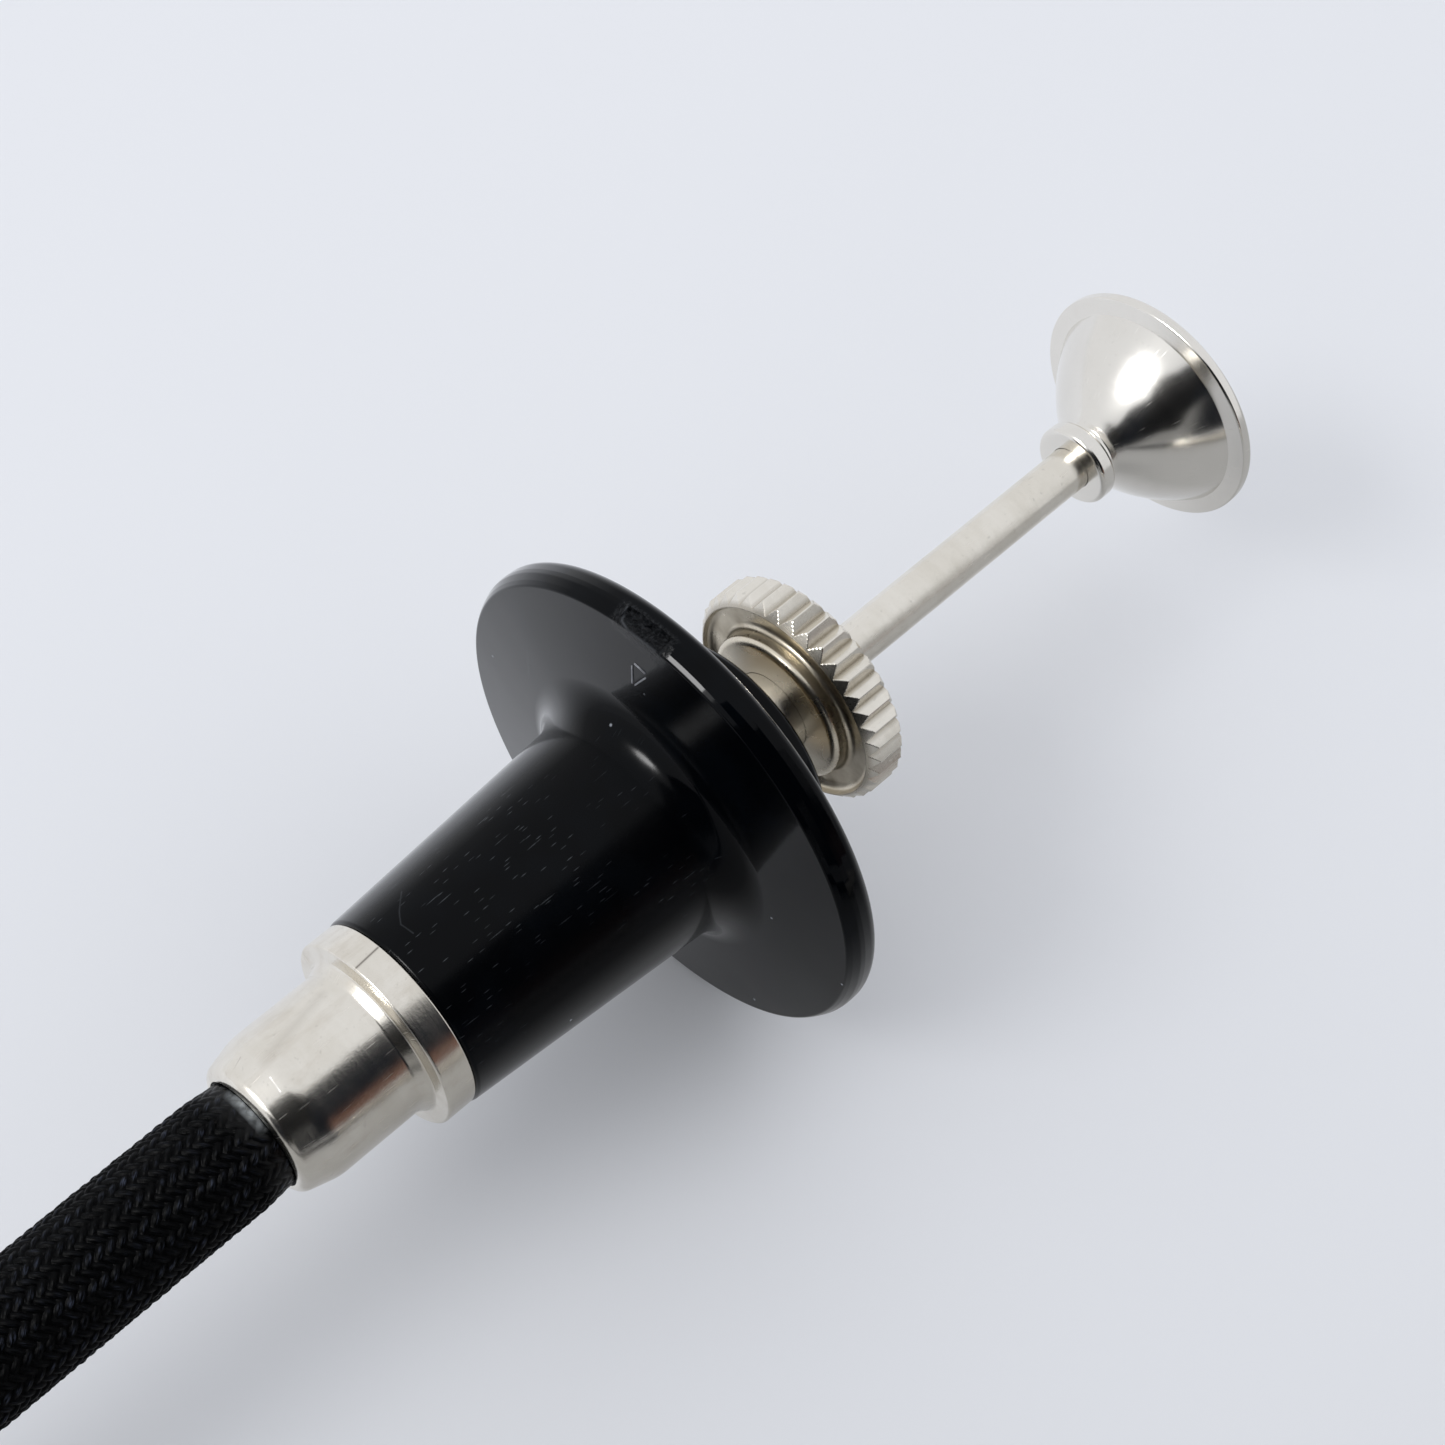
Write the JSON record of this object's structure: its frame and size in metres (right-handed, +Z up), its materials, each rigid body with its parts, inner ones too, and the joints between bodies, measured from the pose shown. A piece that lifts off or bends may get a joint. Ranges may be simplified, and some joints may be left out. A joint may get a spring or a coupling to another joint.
{
  "type": "cable shutter release",
  "caption": "Mechanical shutter release: black flanged grip, sprung plunger with thumb plate, knurled lock wheel, braided cable and a screw-in camera fitting.",
  "frame": {"origin": "bottom centre of the handle's box, on the surface that the flange rim stands on, without the cable and the camera fitting", "axes": "+X along the handle's axis from the cable end to the thumb plate, +Z up"},
  "size_m": [0.1554, 0.0667, 0.022],
  "materials": {
    "grip_plastic": "black moulded plastic, glossy with fine scratches",
    "nickel": "nickel plate over brass, satin and a little yellowed",
    "nickel_polished": "polished nickel plate",
    "brass": "turned brass, plain",
    "steel": "bright drawn steel",
    "braid": "black cotton braid with a slight wax sheen"
  },
  "bodies": {
    "handle": {"grip_body": "grip_plastic", "cable_ferrule": "nickel", "sheath_root": "braid", "stop_washer": "steel", "lock_bushing": "brass", "return_spring": "steel", "lock_spring": "steel", "cable_run": "braid", "cable_bend": "braid", "cable_tail": "braid", "tip_sheath_root": "braid", "tip_ferrule": "nickel", "tip_stem": "brass", "pin_spring": "steel"},
    "plunger": {"plunger_rod": "nickel", "plunger_head": "nickel_polished", "plunger_piston": "brass", "release_wire": "steel"},
    "lock_carrier": {"ball_cage": "brass", "lock_balls": "steel"},
    "lock_wheel": {"lock_wheel": "nickel", "lock_sleeve": "brass"},
    "release_pin": {"release_pin": "steel", "pin_wire": "steel"},
    "tip_collar": {"tip_collar": "nickel", "collar_retainer": "brass"}
  },
  "joints": [
    {"name": "plunger_press", "type": "slide", "parent": "handle", "child": "plunger", "axis": [-1, 0, 0], "range_m": [0, 0.012], "stiffness_N_per_m": 120, "springref_m": -0.006, "deforming": ["return_spring"]},
    {"name": "lock_press", "type": "slide", "parent": "handle", "child": "lock_carrier", "axis": [-1, 0, 0], "range_m": [0, 0.001], "stiffness_N_per_m": 300, "springref_m": -0.001, "deforming": ["lock_spring"]},
    {"name": "lock_turn", "type": "hinge", "parent": "lock_carrier", "child": "lock_wheel", "pos_m": [0.0031, 0, 0.011], "axis": [1, 0, 0], "range_deg": [0, 90]},
    {"name": "pin_slide", "type": "slide", "parent": "handle", "child": "release_pin", "axis": [1, 0, 0], "range_m": [0, 0.012], "deforming": ["pin_spring"]},
    {"name": "collar_turn", "type": "hinge", "parent": "handle", "child": "tip_collar", "pos_m": [0.0124, -0.051, 0.00405], "axis": [1, 0, 0], "continuous": true}
  ],
  "couplings": [
    {"joint": "pin_slide", "follows": "plunger_press", "ratio": 1}
  ]
}
